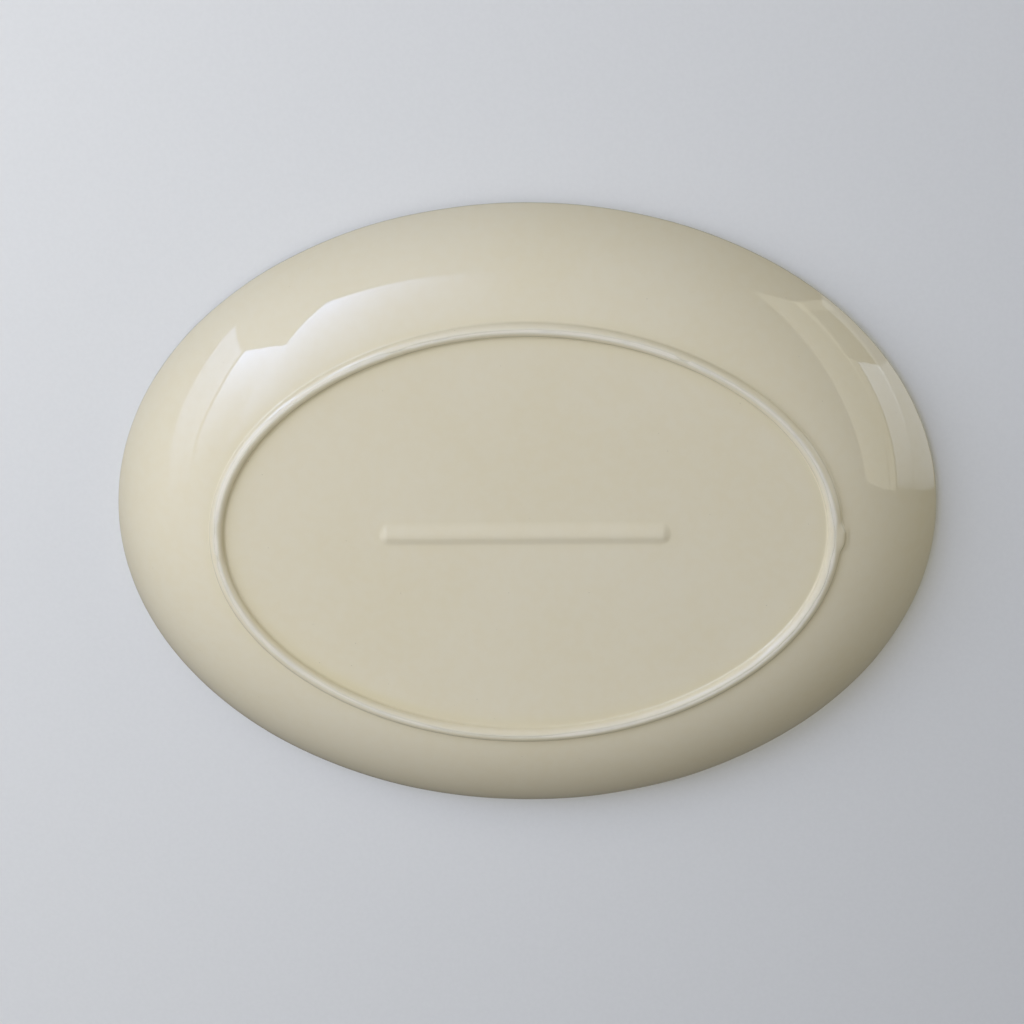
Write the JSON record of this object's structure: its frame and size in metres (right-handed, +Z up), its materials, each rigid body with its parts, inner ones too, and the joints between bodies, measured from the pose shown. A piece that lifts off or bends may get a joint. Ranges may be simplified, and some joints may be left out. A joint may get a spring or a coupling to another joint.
{
  "type": "oval serving plate",
  "caption": "Oval earthenware serving plate with a curved wall, rounded lip, low foot ring with a bare crest and a low rib under its base, glazed cream all over.",
  "frame": {"origin": "on the table, at the centre of the oval on which the foot ring stands", "axes": "+X along the plate's length, +Y along its width, +Z up from the table to the open face"},
  "size_m": [0.33, 0.255, 0.036],
  "materials": {
    "clay": "bare fired earthenware, off-white and matt",
    "cream_glaze": "clear gloss glaze, cream"
  },
  "bodies": {
    "root": {"clay_body": "clay", "foot_ring": "clay", "centre_rib": "clay", "outer_glaze": "cream_glaze", "base_glaze": "cream_glaze"}
  },
  "joints": []
}
